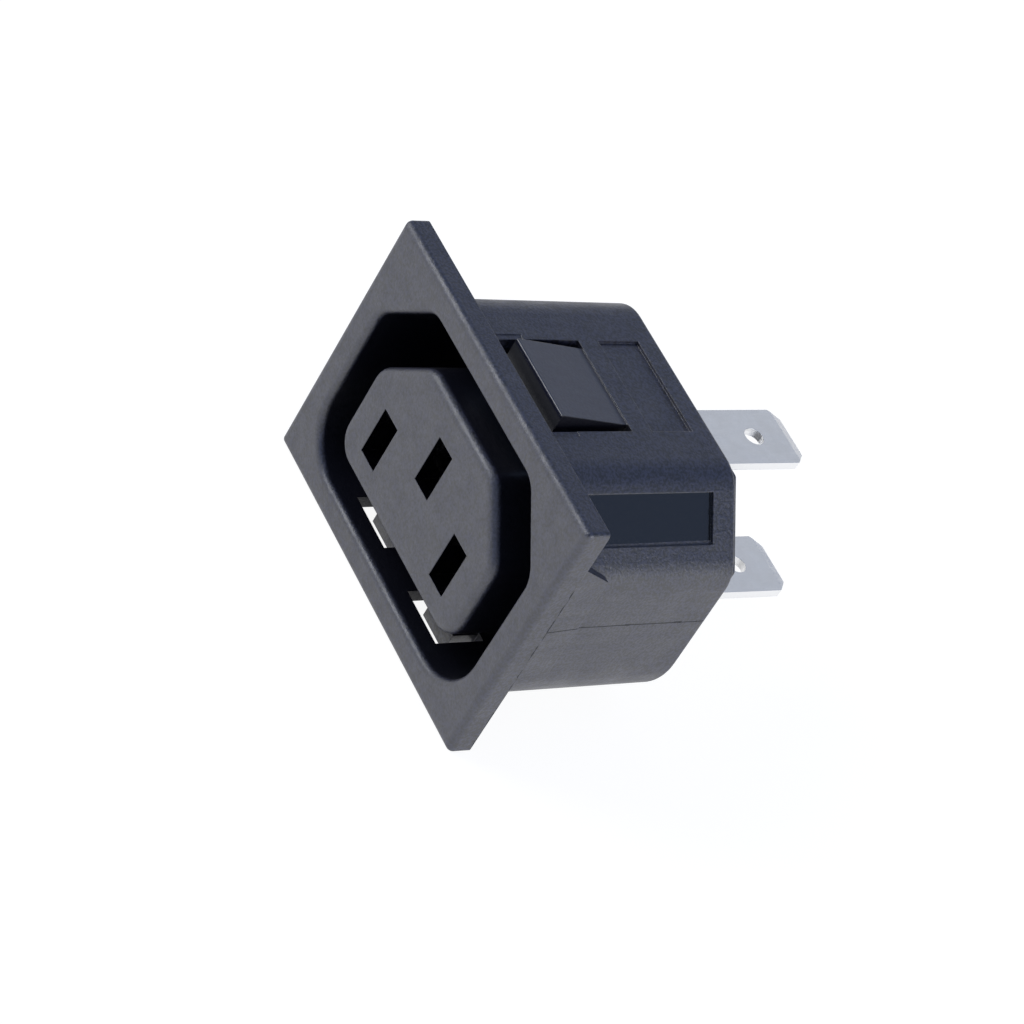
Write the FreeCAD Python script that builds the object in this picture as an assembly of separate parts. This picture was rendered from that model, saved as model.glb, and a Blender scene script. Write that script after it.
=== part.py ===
import FreeCAD, Part
import math
import os

V = FreeCAD.Vector

os.makedirs("parts", exist_ok=True)

# Panel-mounting mains outlet for a flat three-pin appliance plug. Millimetres.
# X runs along the long side of the flange, Z points to the earth side, and Y points into the equipment.
# The origin is the centre of the flange, on the plane of its rear face, which rests on the panel.

# Layout of the three pins
PIN_PITCH = 14.0
EARTH_RISE = 4.0
LINE_ROW_Z = -2.1
PIN_HEIGHT = 4.0
SLOT_WIDTH = 2.5
SLOT_HEIGHT = 5.0

# Well that takes the shroud of the plug
WELL_WIDTH = 29.7
WELL_HEIGHT = 21.0
WELL_CHAMFER = 5.55
WELL_BLEND_RADIUS = 2.5
WELL_LOWER_RADIUS = 5.2
WELL_MOUTH_RADIUS = 0.6

# Body behind the panel
WALL = 1.3
BODY_DEPTH = 18.3
BODY_DRAFT_DEGREES = 0.6
BODY_REAR_RADIUS = 0.45

# Flange in front of the panel
FLANGE_SIDE_OVERHANG = 1.55
FLANGE_TOP_OVERHANG = 1.4
FLANGE_THICKNESS = 2.3
FLANGE_CORNER_RADIUS = 0.4
FLANGE_EDGE_RADIUS = 0.7

# Contact block: core around the contacts, base that closes the well, rim that seats on the body
CORE_SIDE_WALL = 2.05
CORE_TOP_WALL = 1.85
CORE_BOTTOM_WALL = 1.95
CORE_FACE_WALL = 2.7
CORE_CHAMFER = 5.4
CORE_BLEND_RADIUS = 2.5
CORE_LOWER_RADIUS = 2.6
CORE_EDGE_RADIUS = 0.8
CORE_PROUD = 0.2
BASE_THICKNESS = 3.6
RIM_THICKNESS = 0.8
RIM_INSET = 0.9
RIM_CORNER_RADIUS = 0.4
RIM_EDGE_CHAMFER = 0.2

# Spring latch in the earth-side wall
LATCH_WIDTH = 8.7
LATCH_FRONT = 2.5
LATCH_LENGTH = 7.3
LATCH_RISE = 0.95
LATCH_SINK = 0.15
LATCH_RIDGE_RADIUS = 0.15
LATCH_SIDE_GAP = 0.85
LATCH_FRONT_GAP = 1.0
RELIEF_MARGIN = 0.55
RELIEF_LENGTH = 4.1
RELIEF_SINK = 0.1

# Pair of short snap lugs in the opposite wall
LUG_SPACING = 10.7
LUG_WIDTH = 4.1
LUG_FRONT = 2.25
LUG_RAMP_LENGTH = 4.9
LUG_FREE_LENGTH = 2.6
LUG_RISE = 1.0
LUG_RIDGE_RADIUS = 0.15
LUG_SIDE_GAP = 0.85
TONGUE_RELIEF = 0.15

# Low tapered pads that centre the body in the panel cut-out
PAD_HEIGHT = 0.45
PAD_REAR_HEIGHT = 0.1
PAD_DEPTH = 4.7
PAD_TOP_Z = 5.75
PAD_BOTTOM_Z = -5.3
PAD_BEVEL = 2.6

# Shallow sunk panels for ratings and approvals
RATING_WIDTH = 10.4
RATING_LENGTH = 4.3
RATING_GAP = 2.05
APPROVAL_WIDTH = 4.3
APPROVAL_LENGTH = 14.3
APPROVAL_FRONT = 1.5
APPROVAL_SHIFT = 0.6
PANEL_SINK = 0.3

# Contact stampings
SHEET = 0.8
BEND_RADIUS = 0.4
PIN_SIDE_PLAY = 0.1
ROOT_GAP = 2.6
PINCH_GAP = 2.1
MOUTH_GAP = 3.0
PINCH_RADIUS = 1.0
MOUTH_LENGTH = 2.4
ROOT_LENGTH = 1.2
JOGGLE_LENGTH = 1.6
SHOULDER_WIDTH = 7.6
SHOULDER_LENGTH = 1.6
TAB_WIDTH = 6.3
LINE_TAB_OFFSET = 1.5
LINE_TAB_REACH = 14.7
EARTH_TAB_OFFSET = 3.1
EARTH_TAB_REACH = 15.6
TAB_TIP_BEVEL = 1.05
TAB_LEAD_LENGTH = 0.8
TAB_LEAD_SINK = 0.2
TAB_HOLE_DIAMETER = 1.9
TAB_HOLE_FROM_TIP = 4.3

# Rear cover, let into the contact block
COVER_THICKNESS = 2.0
COVER_MARGIN = 0.6
COVER_RADIUS = 1.6

# Clearances
CHAMBER_PLAY = 0.15
CONTACT_FRONT_GAP = 0.3
SHOULDER_PLAY = 0.1
SHOULDER_END_PLAY = 0.05
BASE_PLAY = 0.1
COVER_PLAY = 0.1
TAB_SLOT_PLAY = 0.1

# Overlap by which joined volumes enter each other, and cutting volumes pass a face
MERGE = 0.4

# Planes and sizes that follow from those above
DRAFT = math.tan(math.radians(BODY_DRAFT_DEGREES))
FRONT_Y = -FLANGE_THICKNESS
CORE_FRONT_Y = FRONT_Y - CORE_PROUD
CHAMBER_FRONT_Y = CORE_FRONT_Y + CORE_FACE_WALL
WELL_FLOOR_Y = BODY_DEPTH - BASE_THICKNESS
RIM_REAR_Y = BODY_DEPTH + RIM_THICKNESS
COVER_SEAT_Y = RIM_REAR_Y - COVER_THICKNESS
SHOULDER_REAR_Y = COVER_SEAT_Y - SHOULDER_END_PLAY
SHOULDER_FRONT_Y = SHOULDER_REAR_Y - SHOULDER_LENGTH
ROOT_REAR_Y = SHOULDER_FRONT_Y - JOGGLE_LENGTH
CONTACT_FRONT_Y = CHAMBER_FRONT_Y + CONTACT_FRONT_GAP
BODY_HALF_WIDTH = WELL_WIDTH / 2 + WALL
BODY_HALF_HEIGHT = WELL_HEIGHT / 2 + WALL
FLANGE_HALF_WIDTH = BODY_HALF_WIDTH + FLANGE_SIDE_OVERHANG
FLANGE_HALF_HEIGHT = BODY_HALF_HEIGHT + FLANGE_TOP_OVERHANG
BRIDGE_INNER = PIN_HEIGHT / 2 + PIN_SIDE_PLAY
BRIDGE_OUTER = BRIDGE_INNER + SHEET
CHAMBER_HALF_WIDTH = MOUTH_GAP / 2 + SHEET + CHAMBER_PLAY
EARTH_ROW_Z = LINE_ROW_Z + EARTH_RISE

# Name, centre and row of each contact, the side its bridge lies on, its tab's offset from the row and reach
POLES = [
    ("line_contact", PIN_PITCH / 2, LINE_ROW_Z, -1, LINE_TAB_OFFSET, LINE_TAB_REACH),
    ("neutral_contact", -PIN_PITCH / 2, LINE_ROW_Z, -1, LINE_TAB_OFFSET, LINE_TAB_REACH),
    ("earth_contact", 0.0, EARTH_ROW_Z, 1, EARTH_TAB_OFFSET, EARTH_TAB_REACH),
]


# Ways to lay a flat outline in space
def across(y):
    return lambda u, v: V(u, y, v)


def level(z):
    return lambda u, v: V(u, v, z)


def upright(x):
    return lambda u, v: V(x, u, v)


# Closed outline through corners (u, v, radius), each corner rounded by its radius
def outline(corners, place):
    starts, middles, ends = [], [], []
    for index, (u, v, radius) in enumerate(corners):
        corner = V(u, v, 0)
        before = V(*corners[index - 1][:2], 0) - corner
        after = V(*corners[(index + 1) % len(corners)][:2], 0) - corner
        before.normalize()
        after.normalize()
        half_angle = before.getAngle(after) / 2
        bisector = before + after
        bisector.normalize()
        starts.append(corner + before * (radius / math.tan(half_angle)))
        middles.append(corner + bisector * (radius / math.sin(half_angle) - radius))
        ends.append(corner + after * (radius / math.tan(half_angle)))
    edges = []
    for index, (u, v, radius) in enumerate(corners):
        start, middle, end = (place(p.x, p.y) for p in (starts[index], middles[index], ends[index]))
        if radius > 0:
            edges.append(Part.Arc(start, middle, end).toShape())
        following = starts[(index + 1) % len(corners)]
        edges.append(Part.LineSegment(end, place(following.x, following.y)).toShape())
    return Part.Wire(edges)


# Solid swept straight from a flat outline
def prism(corners, place, sweep):
    return Part.Face(outline(corners, place)).extrude(sweep)


def sharp(points):
    return [(u, v, 0) for u, v in points]


def rectangle(left, right, low, high, radius=0):
    return [(left, low, radius), (right, low, radius), (right, high, radius), (left, high, radius)]


def block(left, right, front, rear, low, high):
    return prism(rectangle(left, right, low, high), across(front), V(0, rear - front, 0))


# Edges of a solid that lie wholly in the plane at y, inside the given half width
def edges_at(solid, y, half_width):
    found = []
    for edge in solid.Edges:
        box = edge.BoundBox
        flat = abs(box.YMin - y) < 1e-4 and abs(box.YMax - y) < 1e-4
        if flat and max(abs(box.XMin), abs(box.XMax)) < half_width:
            found.append(edge)
    return found


# Straight edges of a solid that run along Y for at least the given length
def edges_along_y(solid, length):
    found = []
    for edge in solid.Edges:
        box = edge.BoundBox
        if box.YLength >= length and box.XLength < 1e-4 and box.ZLength < 1e-4:
            found.append(edge)
    return found


# Keyed outline of the well: a rectangle with both earth-side corners cut off, moved in by inset
def keyed_corners(inset, blend=None):
    half_width = WELL_WIDTH / 2 - inset
    half_height = WELL_HEIGHT / 2 - inset
    chamfer = WELL_CHAMFER - inset * (2 - math.sqrt(2))
    lower = WELL_LOWER_RADIUS - inset
    if blend is None:
        blend = WELL_BLEND_RADIUS - inset
    return [
        (-half_width, -half_height, lower),
        (half_width, -half_height, lower),
        (half_width, half_height - chamfer, blend),
        (half_width - chamfer, half_height, blend),
        (chamfer - half_width, half_height, blend),
        (-half_width, half_height - chamfer, blend),
    ]


# Keyed volume that narrows to the rear with the draft of the mould
def keyed_loft(inset, front, rear):
    wires = [outline(keyed_corners(inset + y * DRAFT), across(y)) for y in (front, rear)]
    return Part.makeLoft(wires, True, True)


# Height of the earth-side wall's outer and inner faces at depth y
def wall_outside(y):
    return BODY_HALF_HEIGHT - y * DRAFT


def wall_inside(y):
    return WELL_HEIGHT / 2 - y * DRAFT


# Flange and shroud
def make_shell():
    flange = block(
        -FLANGE_HALF_WIDTH, FLANGE_HALF_WIDTH, FRONT_Y, 0, -FLANGE_HALF_HEIGHT, FLANGE_HALF_HEIGHT
    )
    flange = flange.makeFillet(FLANGE_EDGE_RADIUS, edges_at(flange, FRONT_Y, FLANGE_HALF_WIDTH + MERGE))
    flange = flange.makeFillet(FLANGE_CORNER_RADIUS, edges_along_y(flange, FLANGE_THICKNESS / 2))
    body = keyed_loft(-WALL, 0, BODY_DEPTH)
    body = body.makeFillet(BODY_REAR_RADIUS, edges_at(body, BODY_DEPTH, FLANGE_HALF_WIDTH))
    shell = flange.fuse(body).cut(keyed_loft(0, FRONT_Y - MERGE, BODY_DEPTH + MERGE))
    return shell.makeFillet(WELL_MOUTH_RADIUS, edges_at(shell, FRONT_Y, BODY_HALF_WIDTH - WALL / 2))


# Distance from a pole's row to the outer wall of its chamber
def chamber_outer(tab_offset):
    return max(BRIDGE_OUTER, tab_offset + SHEET / 2) + CHAMBER_PLAY


# Core that stands in the well and follows the keyed outline
def make_core():
    half_width = PIN_PITCH / 2 + CHAMBER_HALF_WIDTH + CORE_SIDE_WALL
    top = EARTH_ROW_Z + chamber_outer(EARTH_TAB_OFFSET) + CORE_TOP_WALL
    bottom = LINE_ROW_Z - chamber_outer(LINE_TAB_OFFSET) - CORE_BOTTOM_WALL
    corners = [
        (-half_width, bottom, CORE_LOWER_RADIUS),
        (half_width, bottom, CORE_LOWER_RADIUS),
        (half_width, top - CORE_CHAMFER, CORE_BLEND_RADIUS),
        (half_width - CORE_CHAMFER, top, CORE_BLEND_RADIUS),
        (CORE_CHAMFER - half_width, top, CORE_BLEND_RADIUS),
        (-half_width, top - CORE_CHAMFER, CORE_BLEND_RADIUS),
    ]
    core = prism(corners, across(CORE_FRONT_Y), V(0, WELL_FLOOR_Y + MERGE - CORE_FRONT_Y, 0))
    return core.makeFillet(CORE_EDGE_RADIUS, edges_at(core, CORE_FRONT_Y, half_width + MERGE))


# Openings for one pole: pin slot, chamber for the fork, seat for the shoulders
def pole_cuts(x, row, side, tab_offset):
    slot = block(
        x - SLOT_WIDTH / 2, x + SLOT_WIDTH / 2,
        CORE_FRONT_Y - MERGE, CHAMBER_FRONT_Y + MERGE,
        row - SLOT_HEIGHT / 2, row + SLOT_HEIGHT / 2,
    )
    ends = sorted([row - side * (BRIDGE_INNER + CHAMBER_PLAY), row + side * chamber_outer(tab_offset)])
    chamber = block(
        x - CHAMBER_HALF_WIDTH, x + CHAMBER_HALF_WIDTH,
        CHAMBER_FRONT_Y, COVER_SEAT_Y + MERGE,
        ends[0], ends[1],
    )
    seat_half_width = SHOULDER_WIDTH / 2 + SHOULDER_PLAY
    seat_half_height = SHEET / 2 + SHOULDER_PLAY
    tab_z = row + side * tab_offset
    seat = block(
        x - seat_half_width, x + seat_half_width,
        SHOULDER_FRONT_Y, COVER_SEAT_Y + MERGE,
        tab_z - seat_half_height, tab_z + seat_half_height,
    )
    return [slot, chamber, seat]


# Sprung wedge that gives way as the body enters the panel and then catches behind it
def wedge(x, width, front, rear, tail, rise, sink, ridge_radius):
    points = [
        (front, wall_inside(front) + TONGUE_RELIEF, 0),
        (front, wall_outside(front) + rise, ridge_radius),
        (rear, wall_outside(rear) - sink, 0),
        (tail, wall_outside(tail) - sink - TONGUE_RELIEF, 0),
        (tail, wall_inside(tail) + TONGUE_RELIEF, 0),
    ]
    return prism(points, upright(x - width / 2), V(width, 0, 0))


def mirrored_down(solid):
    return solid.mirror(V(0, 0, 0), V(0, 0, 1))


# The latch stands in a window, and the wall around its front is sunk a little
def make_latch():
    rear = LATCH_FRONT + LATCH_LENGTH
    half_window = LATCH_WIDTH / 2 + LATCH_SIDE_GAP
    window = block(
        -half_window, half_window,
        LATCH_FRONT - LATCH_FRONT_GAP, rear,
        WELL_HEIGHT / 2 - WALL, BODY_HALF_HEIGHT + MERGE,
    )
    half_relief = half_window + RELIEF_MARGIN
    relief = block(
        -half_relief, half_relief,
        0, RELIEF_LENGTH,
        BODY_HALF_HEIGHT - RELIEF_SINK, BODY_HALF_HEIGHT + MERGE,
    )
    tongue = wedge(0, LATCH_WIDTH, LATCH_FRONT, rear, rear + MERGE, LATCH_RISE, LATCH_SINK, LATCH_RIDGE_RADIUS)
    return [window, relief], tongue


# The lugs' ramps run on over the wall behind their windows
def make_lugs():
    windows, tongues = [], []
    for x in (-LUG_SPACING / 2, LUG_SPACING / 2):
        half_window = LUG_WIDTH / 2 + LUG_SIDE_GAP
        window = block(
            x - half_window, x + half_window,
            0, LUG_FRONT + LUG_FREE_LENGTH,
            WELL_HEIGHT / 2 - WALL, BODY_HALF_HEIGHT + MERGE,
        )
        rear = LUG_FRONT + LUG_RAMP_LENGTH
        tongue = wedge(x, LUG_WIDTH, LUG_FRONT, rear, rear + MERGE, LUG_RISE, 0, LUG_RIDGE_RADIUS)
        windows.append(mirrored_down(window))
        tongues.append(mirrored_down(tongue))
    return windows, tongues


# Centring pads at both ends of the body, thickest at the flange
def make_pads():
    points = sharp([
        (-MERGE, PAD_TOP_Z + PAD_BEVEL),
        (0, PAD_TOP_Z + PAD_BEVEL),
        (PAD_DEPTH, PAD_TOP_Z),
        (PAD_DEPTH, PAD_BOTTOM_Z),
        (-MERGE, PAD_BOTTOM_Z),
    ])
    rear_half_width = BODY_HALF_WIDTH - PAD_DEPTH * DRAFT + PAD_REAR_HEIGHT
    taper = sharp([
        (BODY_HALF_WIDTH - WALL / 2, -MERGE),
        (BODY_HALF_WIDTH + PAD_HEIGHT, -MERGE),
        (BODY_HALF_WIDTH + PAD_HEIGHT, 0),
        (rear_half_width, PAD_DEPTH),
        (BODY_HALF_WIDTH - WALL / 2, PAD_DEPTH),
    ])
    plate = prism(points, upright(BODY_HALF_WIDTH - WALL / 2), V(WALL, 0, 0))
    pad = plate.common(prism(taper, level(-BODY_HALF_HEIGHT), V(0, 0, 2 * BODY_HALF_HEIGHT)))
    return [pad, pad.mirror(V(0, 0, 0), V(1, 0, 0))]


# Sunk panels, bare, with floors that follow the drafted faces
def make_sunk_panels():
    front = LATCH_FRONT + LATCH_LENGTH + RATING_GAP
    rear = front + RATING_LENGTH
    rating = prism(
        sharp([
            (front, wall_outside(front) - PANEL_SINK),
            (rear, wall_outside(rear) - PANEL_SINK),
            (rear, BODY_HALF_HEIGHT + MERGE),
            (front, BODY_HALF_HEIGHT + MERGE),
        ]),
        upright(-RATING_WIDTH / 2),
        V(RATING_WIDTH, 0, 0),
    )
    chamfer = WELL_CHAMFER + WALL * (2 - math.sqrt(2))
    middle = V(BODY_HALF_WIDTH - chamfer / 2, 0, BODY_HALF_HEIGHT - chamfer / 2)
    normal = V(1, 0, 1).normalize()
    upward = V(-1, 0, 1).normalize()
    start = middle + upward * (APPROVAL_SHIFT - APPROVAL_WIDTH / 2)
    rear = APPROVAL_FRONT + APPROVAL_LENGTH
    approval = prism(
        sharp([
            (APPROVAL_FRONT, -APPROVAL_FRONT * DRAFT - PANEL_SINK),
            (rear, -rear * DRAFT - PANEL_SINK),
            (rear, MERGE),
            (APPROVAL_FRONT, MERGE),
        ]),
        lambda u, v: start + normal * v + V(0, u, 0),
        upward * APPROVAL_WIDTH,
    )
    return [rating, approval]


def make_housing():
    latch_cuts, latch = make_latch()
    lug_windows, lugs = make_lugs()
    cuts = latch_cuts + lug_windows + make_sunk_panels()
    return make_shell().fuse(make_pads()).cut(cuts).fuse([latch] + lugs).removeSplitter()


# Outline of the rear cover, around the chambers and shoulders of all three contacts
def cover_corners(play):
    half_width = PIN_PITCH / 2 + SHOULDER_WIDTH / 2 + SHOULDER_PLAY + COVER_MARGIN + play
    low = LINE_ROW_Z - chamber_outer(LINE_TAB_OFFSET) - COVER_MARGIN - play
    high = EARTH_ROW_Z + chamber_outer(EARTH_TAB_OFFSET) + COVER_MARGIN + play
    return rectangle(-half_width, half_width, low, high, COVER_RADIUS + play)


def make_contact_block():
    base = keyed_loft(BASE_PLAY, WELL_FLOOR_Y, BODY_DEPTH + RIM_THICKNESS / 2)
    rim_corners = keyed_corners(BODY_DEPTH * DRAFT - WALL + RIM_INSET, RIM_CORNER_RADIUS)
    rim = prism(rim_corners, across(BODY_DEPTH), V(0, RIM_THICKNESS, 0))
    rim = rim.makeChamfer(RIM_EDGE_CHAMFER, edges_at(rim, RIM_REAR_Y, FLANGE_HALF_WIDTH))
    cuts = [prism(cover_corners(COVER_PLAY), across(COVER_SEAT_Y), V(0, COVER_THICKNESS + MERGE, 0))]
    for name, x, row, side, tab_offset, reach in POLES:
        cuts += pole_cuts(x, row, side, tab_offset)
    return base.fuse([rim, make_core()]).cut(cuts).removeSplitter()


# Flat cover that fills the pocket in the block and holds the contacts by their shoulders
def make_rear_cover():
    cover = prism(cover_corners(0), across(COVER_SEAT_Y), V(0, COVER_THICKNESS, 0))
    slots = []
    for name, x, row, side, tab_offset, reach in POLES:
        half_width = TAB_WIDTH / 2 + TAB_SLOT_PLAY
        half_height = SHEET / 2 + TAB_SLOT_PLAY
        tab_z = row + side * tab_offset
        slots.append(
            block(
                x - half_width, x + half_width,
                COVER_SEAT_Y - MERGE, RIM_REAR_Y + MERGE,
                tab_z - half_height, tab_z + half_height,
            )
        )
    return cover.cut(slots).removeSplitter()


# One contact, stamped and bent from a single strip: sprung fork, joggle, shoulders and push-on tab
def make_contact(x, row, side, tab_offset, reach):
    root_front = ROOT_REAR_Y - ROOT_LENGTH
    inner = ROOT_GAP / 2
    outer = inner + SHEET
    channel = [
        (-outer, -BRIDGE_INNER, 0),
        (-inner, -BRIDGE_INNER, 0),
        (-inner, BRIDGE_INNER, BEND_RADIUS),
        (inner, BRIDGE_INNER, BEND_RADIUS),
        (inner, -BRIDGE_INNER, 0),
        (outer, -BRIDGE_INNER, 0),
        (outer, BRIDGE_OUTER, BEND_RADIUS + SHEET),
        (-outer, BRIDGE_OUTER, BEND_RADIUS + SHEET),
    ]
    root = prism(channel, across(root_front), V(0, ROOT_LENGTH, 0))
    pinch_y = CONTACT_FRONT_Y + MOUTH_LENGTH
    pinch = PINCH_GAP / 2
    mouth = MOUTH_GAP / 2
    leaf_points = [
        (inner, root_front, 0),
        (pinch, pinch_y, PINCH_RADIUS + SHEET),
        (mouth, CONTACT_FRONT_Y, 0),
        (mouth + SHEET, CONTACT_FRONT_Y, 0),
        (pinch + SHEET, pinch_y, PINCH_RADIUS),
        (outer, root_front, 0),
    ]
    leaf = prism(leaf_points, level(-BRIDGE_INNER), V(0, 0, 2 * BRIDGE_INNER - BEND_RADIUS))
    other_leaf = leaf.mirror(V(0, 0, 0), V(1, 0, 0))

    tip_y = BODY_DEPTH + reach
    half_shoulder = SHOULDER_WIDTH / 2
    half_tab = TAB_WIDTH / 2
    right_side = [
        (inner, ROOT_REAR_Y),
        (inner, SHOULDER_FRONT_Y),
        (half_shoulder, SHOULDER_FRONT_Y),
        (half_shoulder, SHOULDER_REAR_Y),
        (half_tab, SHOULDER_REAR_Y),
        (half_tab, tip_y - TAB_TIP_BEVEL),
        (half_tab - TAB_TIP_BEVEL, tip_y),
    ]
    left_side = [(-u, v) for u, v in reversed(right_side)]
    tab_inner = tab_offset - SHEET / 2
    tab_outer = tab_offset + SHEET / 2
    lead_y = tip_y - TAB_LEAD_LENGTH
    elevation = sharp([
        (ROOT_REAR_Y, BRIDGE_INNER),
        (SHOULDER_FRONT_Y, tab_inner),
        (lead_y, tab_inner),
        (tip_y, tab_inner + TAB_LEAD_SINK),
        (tip_y, tab_outer - TAB_LEAD_SINK),
        (lead_y, tab_outer),
        (SHOULDER_FRONT_Y, tab_outer),
        (ROOT_REAR_Y, BRIDGE_OUTER),
    ])
    low = min(BRIDGE_INNER, tab_inner)
    high = max(BRIDGE_OUTER, tab_outer)
    blade = prism(sharp(right_side + left_side), level(low), V(0, 0, high - low))
    blade = blade.common(prism(elevation, upright(-half_shoulder), V(SHOULDER_WIDTH, 0, 0)))
    hole_foot = V(0, tip_y - TAB_HOLE_FROM_TIP, tab_inner - MERGE)
    hole = Part.makeCylinder(TAB_HOLE_DIAMETER / 2, SHEET + 2 * MERGE, hole_foot, V(0, 0, 1))
    contact = root.fuse([leaf, other_leaf, blade.cut(hole)]).removeSplitter()
    if side < 0:
        contact = mirrored_down(contact)
    contact.translate(V(x, 0, row))
    return contact


make_housing().exportStep("parts/housing.step")
make_contact_block().exportStep("parts/contact_block.step")
make_rear_cover().exportStep("parts/rear_cover.step")
for name, x, row, side, tab_offset, reach in POLES:
    make_contact(x, row, side, tab_offset, reach).exportStep("parts/" + name + ".step")
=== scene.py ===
import math

import bpy
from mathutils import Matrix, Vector

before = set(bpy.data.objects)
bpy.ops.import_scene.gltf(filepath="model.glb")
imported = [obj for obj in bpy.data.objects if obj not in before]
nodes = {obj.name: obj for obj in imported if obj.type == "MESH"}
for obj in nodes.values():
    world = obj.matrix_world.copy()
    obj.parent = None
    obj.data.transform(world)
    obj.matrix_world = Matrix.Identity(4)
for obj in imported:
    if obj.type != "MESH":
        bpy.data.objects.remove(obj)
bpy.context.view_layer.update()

scene = bpy.context.scene
scene.view_settings.view_transform = "Standard"

MM = 0.001
DIAGONAL = 0.7071

# Limit in millimetres for a side of a zone that stays open
FAR = 100.0

# Camera, at the photograph's viewing angle
CAMERA_PLACE = (0.17708, -0.18922, 0.19476)
CAMERA_TURN = (48.487, -25.405, 62.646)
CAMERA_LENS = 138.433
SENSOR_WIDTH = 36.0
CLIP_START = 0.01

# White table under the lower edge of the flange, and the white surroundings
FLOOR_HEIGHT = -13.2 * MM
FLOOR_HALF_SIZE = 3.0
TABLE_DARK = (0.86, 0.86, 0.86, 1.0)
TABLE_LIGHT = (0.90, 0.90, 0.90, 1.0)
TABLE_GLOW = 1.22
TABLE_GLOW_SHARE = 0.75
WORLD_LIGHT = (0.70, 0.70, 0.70, 1.0)
WORLD_WHITE = (1.0, 1.0, 1.0, 1.0)

# Dim blue ceiling of the studio, with one neutral soft panel behind the left side
CEILING_HEIGHT = 0.9
CEILING_HALF_SIZE = 4.0
CEILING_DIM = (0.17, 0.225, 0.36, 1.0)
PANEL_LIGHT = (0.48, 0.515, 0.595, 1.0)
PANEL_PLACE = (-1.05, 1.20, CEILING_HEIGHT)
PANEL_RADIUS = 0.42
PANEL_FADE = 0.50

# Mouldings: the body's draft, as a slope, and the finishes that differ from the plain grain, some of them
# painted shade (darker colour in the recess, slots, rough faces and the crevice at the flange's rear
# edge)
BODY_DRAFT = 0.0105
APPROVAL_BLACK = (0.001, 0.0015, 0.003, 1.0)
# Painted shade: darker colour in the recess, beside the latch, on the latch's front and on the lug window
# ends
PAINTED_SHADE_BLACK = (0.003, 0.0033, 0.009, 1.0)
# Painted shade: near-black colour inside the pin slots
SLOT_SHADE_BLACK = (0.001, 0.001, 0.002, 1.0)
# Partly painted shade: the parting line's colour also paints the dark line along the crevice at the
# flange's rear edge
MARK_AND_SHADE_BLACK = (0.003, 0.003, 0.004, 1.0)
SPECK_GREY = (0.10, 0.10, 0.105, 1.0)
POLISHED_ROUGHNESS = 0.20
RECESS_ROUGHNESS = 0.36
SLOT_ROUGHNESS = 0.14
COARSE_ROUGHNESS = 0.70
PLASTIC_IOR = 1.58
PLASTIC_SPECULAR = 1.0

# Tin plate of the contacts
TIN_STAINED = (0.88, 0.87, 0.85, 1.0)
TIN_CLEAR = (0.95, 0.94, 0.92, 1.0)
TIN_SHEARED = (0.90, 0.90, 0.90, 1.0)
TIN_EDGE = (0.62, 0.62, 0.62, 1.0)
SHEARED_ROUGHNESS = 0.42
TIN_ANISOTROPY = 0.25


class Tree:
    """Builds the nodes of one material from plain calls."""

    def __init__(self, holder):
        holder.use_nodes = True
        self.tree = holder.node_tree
        self.tree.nodes.clear()

    def put(self, target, value):
        if isinstance(value, bpy.types.NodeSocket):
            self.tree.links.new(value, target)
        else:
            target.default_value = value

    def node(self, kind, inputs=None, **settings):
        made = self.tree.nodes.new(kind)
        for key, value in settings.items():
            setattr(made, key, value)
        for key, value in (inputs or {}).items():
            self.put(made.inputs[key], value)
        return made

    def place(self):
        return self.node("ShaderNodeTexCoord").outputs["Object"]

    def axes(self, vector):
        return tuple(self.node("ShaderNodeSeparateXYZ", {"Vector": vector}).outputs)

    def math(self, operation, a, b=0.0):
        made = self.node("ShaderNodeMath", operation=operation)
        self.put(made.inputs[0], a)
        self.put(made.inputs[1], b)
        return made.outputs[0]

    def smooth(self, value, low, high, to_low=0.0, to_high=1.0):
        made = self.node("ShaderNodeMapRange", interpolation_type="SMOOTHSTEP")
        for key, number in (("Value", value), ("From Min", low), ("From Max", high),
                            ("To Min", to_low), ("To Max", to_high)):
            self.put(made.inputs[key], number)
        return made.outputs["Result"]

    def blend(self, share, a, b):
        """Number that goes from a to b as the share goes from 0 to 1."""
        return self.smooth(share, 0.0, 1.0, a, b)

    def mix(self, share, a, b):
        made = self.node("ShaderNodeMix", data_type="RGBA")
        self.put(made.inputs[0], share)
        self.put(made.inputs[6], a)
        self.put(made.inputs[7], b)
        return made.outputs[2]

    def noise(self, place, size, detail=2.0, roughness=0.5):
        inputs = {"Vector": place, "Scale": 1.0 / size, "Detail": detail, "Roughness": roughness}
        return self.node("ShaderNodeTexNoise", inputs).outputs["Fac"]

    def stretched(self, place, scale):
        inputs = {"Vector": place, "Scale": scale}
        return self.node("ShaderNodeMapping", inputs).outputs["Vector"]

    def bump(self, height, depth, strength, normal):
        inputs = {"Height": height, "Distance": depth, "Strength": strength, "Normal": normal}
        return self.node("ShaderNodeBump", inputs).outputs["Normal"]

    def edges(self, radius, low, high):
        """Rounded normal of the surface, and a mask of its outer and inner edges."""
        rounded = self.node("ShaderNodeBevel", {"Radius": radius}, samples=6).outputs["Normal"]
        plain = self.node("ShaderNodeNewGeometry").outputs["Normal"]
        turn = self.node("ShaderNodeVectorMath", operation="DOT_PRODUCT")
        self.put(turn.inputs[0], rounded)
        self.put(turn.inputs[1], plain)
        return rounded, self.smooth(turn.outputs["Value"], 1.0 - low, 1.0 - high)

    def zone(self, *limits):
        """Mask of where each value lies between its low and high in millimetres, with soft borders."""
        mask = 1.0
        for value, low, high, soft in limits:
            rise = self.smooth(value, (low - soft) * MM, low * MM)
            fall = self.smooth(value, high * MM, (high + soft) * MM, 1.0, 0.0)
            mask = self.math("MULTIPLY", mask, self.math("MULTIPLY", rise, fall))
        return mask

    def surface(self, inputs):
        shader = self.node("ShaderNodeBsdfPrincipled", inputs)
        self.node("ShaderNodeOutputMaterial", {"Surface": shader.outputs[0]})


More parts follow.
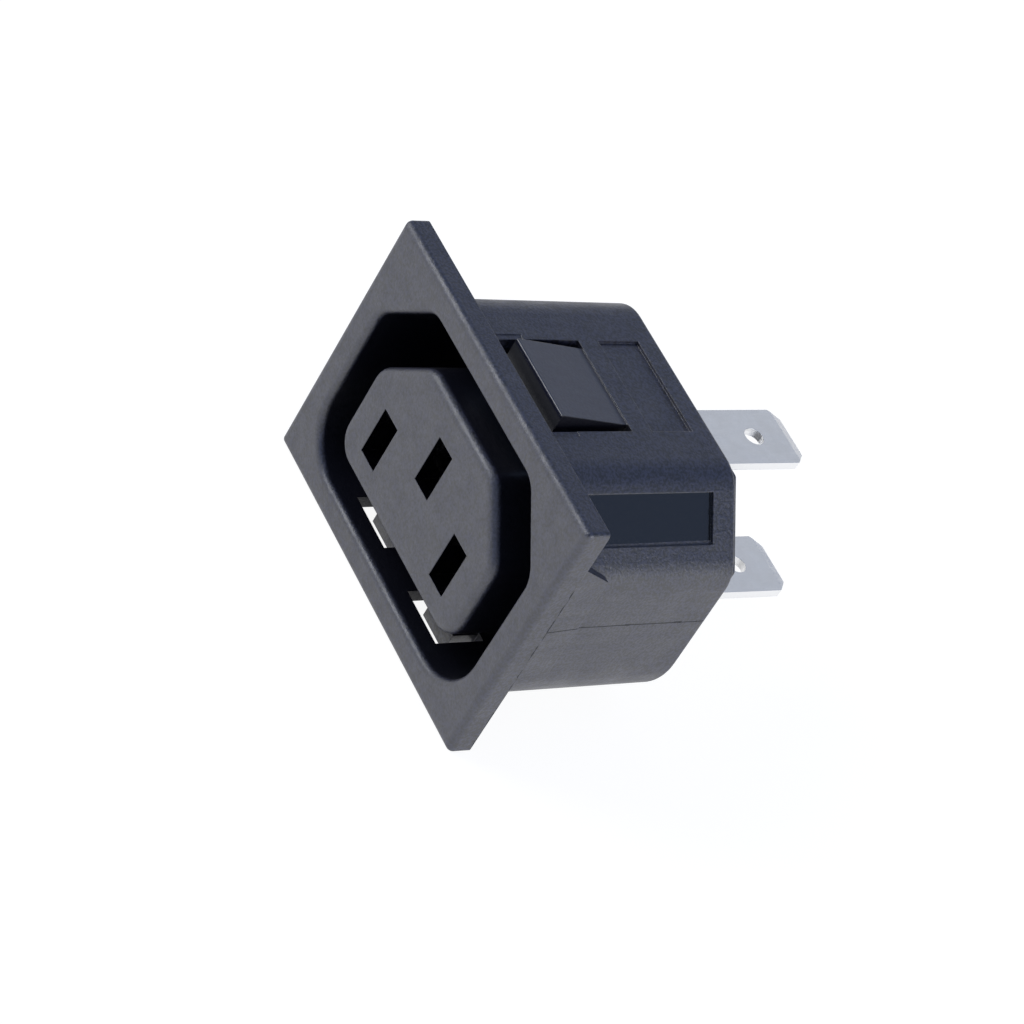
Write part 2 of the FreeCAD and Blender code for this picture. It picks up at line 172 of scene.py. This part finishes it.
def parting_marks_and_crevice_shade(t, place, axes):
    """Mould parting line along the short sides, and painted shade: a ragged dark line along the crevice
    at the flange's rear edge.
    """
    x, y, z = axes
    reach = t.math("ABSOLUTE", x)
    wander = t.math("MULTIPLY", t.math("SUBTRACT", t.noise(place, 3.0 * MM), 0.5), 0.10 * MM)
    blobs = t.smooth(t.noise(place, 1.1 * MM, 1.0), 0.62, 0.72)
    height = t.math("ADD", z, wander)
    thin = t.zone((height, 0.13, 0.20, 0.05))
    thick = t.math("MULTIPLY", t.zone((height, 0.08, 0.27, 0.06)), blobs)
    side = t.zone((reach, 15.4, FAR, 0.2), (y, 0.4, FAR, 0.3))
    line = t.math("MULTIPLY", t.math("MAXIMUM", thin, thick), side)
    ragged = t.math("MULTIPLY", t.smooth(t.noise(place, 1.6 * MM, 3.0, 0.6), 0.35, 0.65), 0.16 * MM)
    behind = t.math("ADD", y, ragged)
    # Painted shade: a dark ragged line where the body meets the flange's rear edge
    crevice_shade = t.zone((reach, 17.6, FAR, 0.1), (behind, 0.03, FAR, 0.05), (z, -FAR, 6.0, 2.5))
    return t.math("MAXIMUM", line, crevice_shade)


def polished_parts(t, axes):
    """Polished faces of the mould: the sunk panel on the chamfer, the latch's ramp, and all of them."""
    x, y, z = axes
    draft = t.math("MULTIPLY", y, BODY_DRAFT)
    slope = t.math("ADD", t.math("MULTIPLY", t.math("ADD", x, z), DIAGONAL), draft)
    level = t.math("ADD", z, draft)
    approval = t.zone((slope, 14.85, 15.10, 0.08), (y, 1.5, 15.8, 0.05), (z, 7.5, 10.6, 0.05))
    rating = t.zone((level, 11.40, 11.58, 0.06), (y, 11.8, 16.2, 0.05), (x, -5.15, 5.15, 0.05))
    ramp = t.zone((x, -4.3, 4.3, 0.1), (y, 2.4, 9.8, 0.1), (z, 11.5, FAR, 0.3))
    slight = t.math("MAXIMUM", t.math("MULTIPLY", rating, 0.25), t.math("MULTIPLY", ramp, 0.4))
    return approval, ramp, t.math("MAXIMUM", approval, slight)


def smooth_shaded_recess(t, axes):
    """Recess walls, sides of the core and gaps beside the latch, left smooth by the mould's cores; the
    mask also paints shade there as darker colour.
    """
    x, y, z = axes
    reach = t.math("ABSOLUTE", x)
    slope = t.math("MULTIPLY", t.math("ADD", reach, z), DIAGONAL)
    gaps = t.zone((reach, 4.32, 5.15, 0.04), (y, 1.6, 9.8, 0.05), (z, 9.2, FAR, 0.2))
    inside = t.zone((reach, -FAR, 14.9, 0.2), (z, -10.6, 10.6, 0.2),
                    (slope, -FAR, 14.2, 0.3), (y, -1.5, 14.5, 0.4))
    return t.math("MAXIMUM", inside, gaps)


def pin_slots(t, axes):
    """Walls of the three pin slots, which the polished pins of the mould left smooth; the mask also
    paints shade there as near-black colour.
    """
    x, y, z = axes
    reach = t.math("ABSOLUTE", x)
    poles = t.zone((reach, 5.7, 8.3, 0.04), (z, -4.65, 0.45, 0.04))
    earth = t.zone((reach, -FAR, 1.30, 0.04), (z, -0.65, 4.45, 0.04))
    behind_face = t.zone((y, -2.40, FAR, 0.06))
    return t.math("MULTIPLY", t.math("MAXIMUM", poles, earth), behind_face)


def coarse_shaded_faces(t, axes):
    """Faces that the mould left rough: the latch's upright front and the ends of the lug windows; the
    mask also paints shade there as darker colour.
    """
    x, y, z = axes
    reach = t.math("ABSOLUTE", x)
    latch_front = t.zone((x, -4.4, 4.4, 0.02), (y, 2.40, 2.53, 0.03), (z, 9.0, 12.3, 0.05))
    ends = t.math("MAXIMUM", t.zone((reach, 2.40, 2.50, 0.03)), t.zone((reach, 8.20, 8.30, 0.03)))
    window_wall = t.zone((y, 0.0, 4.9, 0.03), (z, -11.75, -10.55, 0.03))
    return t.math("MAXIMUM", latch_front, t.math("MULTIPLY", ends, window_wall))


def plastic(name, dark, light, worn, smoothest, roughest, grain_depth, marked):
    """Moulded black plastic: eroded grain, flow streaks, polished edges and, on the body, a mould parting
    line, plus painted shade in the recess, slots, rough faces and the crevice at the flange's rear edge.
    """
    material = bpy.data.materials.new(name)
    t = Tree(material)
    place = t.place()
    axes = t.axes(place)
    cloud = t.noise(place, 2.4 * MM, 4.0, 0.6)
    flow = t.noise(t.stretched(place, (1.0, 0.18, 1.0)), 0.9 * MM, 3.0, 0.55)
    grain = t.noise(place, 0.24 * MM, 2.0, 0.6)
    coarse = t.noise(place, 0.50 * MM, 2.0, 0.5)
    specks = t.smooth(t.noise(place, 0.28 * MM, 1.0, 0.4), 0.77, 0.82)
    rounded, edge = t.edges(0.10 * MM, 0.02, 0.22)

    # The grain's colour is weaker on the front faces than behind them
    spread = t.smooth(axes[1], -2.2 * MM, -1.6 * MM, 0.22, 0.10)
    mottle = t.smooth(grain, t.math("SUBTRACT", 0.5, spread), t.math("ADD", 0.5, spread))
    colour = t.mix(mottle, dark, light)
    colour = t.mix(t.math("MULTIPLY", edge, t.smooth(coarse, 0.25, 0.65)), colour, worn)
    colour = t.mix(t.math("MULTIPLY", specks, 0.35), colour, SPECK_GREY)
    gloss = t.math("ADD", t.math("MULTIPLY", flow, 0.5), t.math("MULTIPLY", cloud, 0.5))
    roughness = t.smooth(gloss, 0.3, 0.7, smoothest, roughest)
    roughness = t.math("SUBTRACT", roughness, t.math("MULTIPLY", edge, 0.10))
    strength = t.blend(edge, 0.6, 0.2)
    waves = 0.3
    if marked:
        approval, ramp, polish = polished_parts(t, axes)
        recess = smooth_shaded_recess(t, axes)
        slots = pin_slots(t, axes)
        rough_shaded_faces = coarse_shaded_faces(t, axes)
        marks_and_crevice_shade = parting_marks_and_crevice_shade(t, place, axes)
        even = [(low + high) / 2 for low, high in zip(dark, light)]

        smooth_faces = t.math("MAXIMUM", t.math("MAXIMUM", polish, ramp), recess)
        strength = t.blend(smooth_faces, strength, 0.2)
        waves = t.blend(ramp, waves, 0.12)
        colour = t.mix(t.math("MULTIPLY", ramp, 0.7), colour, even)
        colour = t.mix(approval, colour, APPROVAL_BLACK)
        # Painted shade: darker colour in the recess and the gaps beside the latch
        colour = t.mix(recess, colour, PAINTED_SHADE_BLACK)
        # Painted shade: near-black colour inside the pin slots
        colour = t.mix(slots, colour, SLOT_SHADE_BLACK)
        # Painted shade: darker colour on the latch's front and the lug window ends
        colour = t.mix(rough_shaded_faces, colour, PAINTED_SHADE_BLACK)
        # Mould parting line, and painted shade along the crevice at the flange's rear edge
        colour = t.mix(t.math("MULTIPLY", marks_and_crevice_shade, 0.8), colour, MARK_AND_SHADE_BLACK)
        roughness = t.blend(polish, roughness, POLISHED_ROUGHNESS)
        roughness = t.blend(recess, roughness, RECESS_ROUGHNESS)
        roughness = t.blend(slots, roughness, SLOT_ROUGHNESS)
        roughness = t.blend(rough_shaded_faces, roughness, COARSE_ROUGHNESS)
        roughness = t.math("MAXIMUM", roughness, marks_and_crevice_shade)
    normal = t.bump(grain, grain_depth, strength, rounded)
    normal = t.bump(coarse, grain_depth * 1.4, waves, normal)
    t.surface({"Base Color": colour, "Roughness": roughness, "Normal": normal,
               "IOR": PLASTIC_IOR, "Specular IOR Level": PLASTIC_SPECULAR})
    return material


def tin_plate(name):
    """Bright tin over rolled brass sheet: rolling lines, soft stains and duller sheared edges."""
    material = bpy.data.materials.new(name)
    t = Tree(material)
    place = t.place()
    lines = t.noise(t.stretched(place, (1.0, 0.03, 1.0)), 0.10 * MM, 3.0, 0.6)
    stain = t.noise(place, 1.6 * MM, 4.0, 0.6)
    fine = t.noise(place, 0.06 * MM, 2.0, 0.5)
    rounded, edge = t.edges(0.06 * MM, 0.02, 0.25)
    facing = t.axes(t.node("ShaderNodeNewGeometry").outputs["Normal"])[2]
    sheared = t.smooth(t.math("ABSOLUTE", facing), 0.3, 0.6, 1.0, 0.0)
    colour = t.mix(t.smooth(stain, 0.3, 0.7), TIN_STAINED, TIN_CLEAR)
    colour = t.mix(sheared, colour, TIN_SHEARED)
    colour = t.mix(t.math("MULTIPLY", edge, 0.4), colour, TIN_EDGE)
    gloss = t.math("ADD", t.math("MULTIPLY", lines, 0.6), t.math("MULTIPLY", stain, 0.4))
    roughness = t.smooth(gloss, 0.3, 0.7, 0.14, 0.24)
    roughness = t.blend(sheared, roughness, SHEARED_ROUGHNESS)
    normal = t.bump(lines, 0.006 * MM, 0.35, rounded)
    normal = t.bump(fine, 0.004 * MM, 0.25, normal)
    t.surface({"Base Color": colour, "Metallic": 1.0, "Roughness": roughness, "Normal": normal,
               "Anisotropic": TIN_ANISOTROPY})
    return material


def dress(names, material):
    for name in names:
        mesh = nodes[name].data
        mesh.materials.clear()
        mesh.materials.append(material)


body_black = plastic(
    "moulded_black",
    dark=(0.000, 0.0005, 0.006, 1.0),
    light=(0.024, 0.027, 0.056, 1.0),
    worn=(0.022, 0.024, 0.036, 1.0),
    smoothest=0.40,
    roughest=0.54,
    grain_depth=0.060 * MM,
    marked=True,
)
cover_black = plastic(
    "cover_black",
    dark=(0.000, 0.0005, 0.004, 1.0),
    light=(0.010, 0.011, 0.018, 1.0),
    worn=(0.020, 0.022, 0.030, 1.0),
    smoothest=0.34,
    roughest=0.46,
    grain_depth=0.016 * MM,
    marked=False,
)
tin = tin_plate("tin_plate")
dress(("housing", "contact_block"), body_black)
dress(("rear_cover",), cover_black)
dress(("line_contact", "neutral_contact", "earth_contact"), tin)


def flat_stage(name, height, half_size, material):
    """Level square of the studio, which is not part of the object."""
    mesh = bpy.data.meshes.new(name)
    signs = ((-1, -1), (1, -1), (1, 1), (-1, 1))
    corners = [(x * half_size, y * half_size, height) for x, y in signs]
    mesh.from_pydata(corners, [], [(0, 1, 2, 3)])
    mesh.materials.append(material)
    made = bpy.data.objects.new(name, mesh)
    scene.collection.objects.link(made)


def seen_white(t):
    """1 for what the camera sees, also in a reflection or through glass."""
    rays = t.node("ShaderNodeLightPath").outputs
    seen = t.math("MAXIMUM", rays["Is Camera Ray"], rays["Is Glossy Ray"])
    return t.math("MAXIMUM", seen, rays["Is Transmission Ray"])


def table_finish():
    """Plain white table that keeps the object's soft shadow."""
    material = bpy.data.materials.new("white_table")
    t = Tree(material)
    tone = t.mix(t.noise(t.place(), 40.0 * MM, 3.0, 0.5), TABLE_DARK, TABLE_LIGHT)
    table = t.node("ShaderNodeBsdfDiffuse", {"Color": tone}).outputs[0]
    white = t.node("ShaderNodeEmission", {"Strength": TABLE_GLOW}).outputs[0]
    share = t.math("MULTIPLY", seen_white(t), TABLE_GLOW_SHARE)
    both = t.node("ShaderNodeMixShader", {0: share, 1: table, 2: white}).outputs[0]
    t.node("ShaderNodeOutputMaterial", {"Surface": both})
    return material


def ceiling_finish():
    """Dim blue studio ceiling and its soft panel, which the upper faces and the tabs reflect."""
    material = bpy.data.materials.new("studio_ceiling")
    t = Tree(material)
    away = t.node("ShaderNodeVectorMath", operation="DISTANCE")
    t.put(away.inputs[0], t.place())
    t.put(away.inputs[1], PANEL_PLACE)
    share = t.smooth(away.outputs["Value"], PANEL_RADIUS, PANEL_RADIUS + PANEL_FADE)
    colour = t.mix(share, PANEL_LIGHT, CEILING_DIM)
    glow = t.node("ShaderNodeEmission", {"Color": colour, "Strength": 1.0}).outputs[0]
    t.node("ShaderNodeOutputMaterial", {"Surface": glow})
    return material


def make_world():
    """White background, with a plain level of light from all round."""
    world = bpy.data.worlds.new("studio")
    scene.world = world
    t = Tree(world)
    colour = t.mix(seen_white(t), WORLD_LIGHT, WORLD_WHITE)
    back = t.node("ShaderNodeBackground", {"Color": colour, "Strength": 1.0}).outputs[0]
    t.node("ShaderNodeOutputWorld", {"Surface": back})


def soft_lamp(name, place, aim, width, height, power):
    lamp = bpy.data.lights.new(name, "AREA")
    lamp.shape = "RECTANGLE"
    lamp.size = width
    lamp.size_y = height
    lamp.energy = power
    made = bpy.data.objects.new(name, lamp)
    made.location = place
    made.rotation_euler = (Vector(aim) - Vector(place)).to_track_quat("-Z", "Y").to_euler()
    scene.collection.objects.link(made)


def make_camera():
    lens = bpy.data.cameras.new("camera")
    lens.lens = CAMERA_LENS
    lens.sensor_width = SENSOR_WIDTH
    lens.clip_start = CLIP_START
    camera = bpy.data.objects.new("camera", lens)
    camera.location = CAMERA_PLACE
    camera.rotation_euler = [math.radians(angle) for angle in CAMERA_TURN]
    scene.collection.objects.link(camera)
    scene.camera = camera


flat_stage("floor", FLOOR_HEIGHT, FLOOR_HALF_SIZE, table_finish())
flat_stage("ceiling", CEILING_HEIGHT, CEILING_HALF_SIZE, ceiling_finish())
make_world()
soft_lamp("front_lamp", place=(-0.44, -0.48, 0.47), aim=(0.0, 0.0, 0.0), width=0.5, height=0.4, power=2.7)
soft_lamp("side_lamp", place=(0.62, 0.10, 0.20), aim=(0.0, 0.01, 0.0), width=0.4, height=0.3, power=1.5)
make_camera()
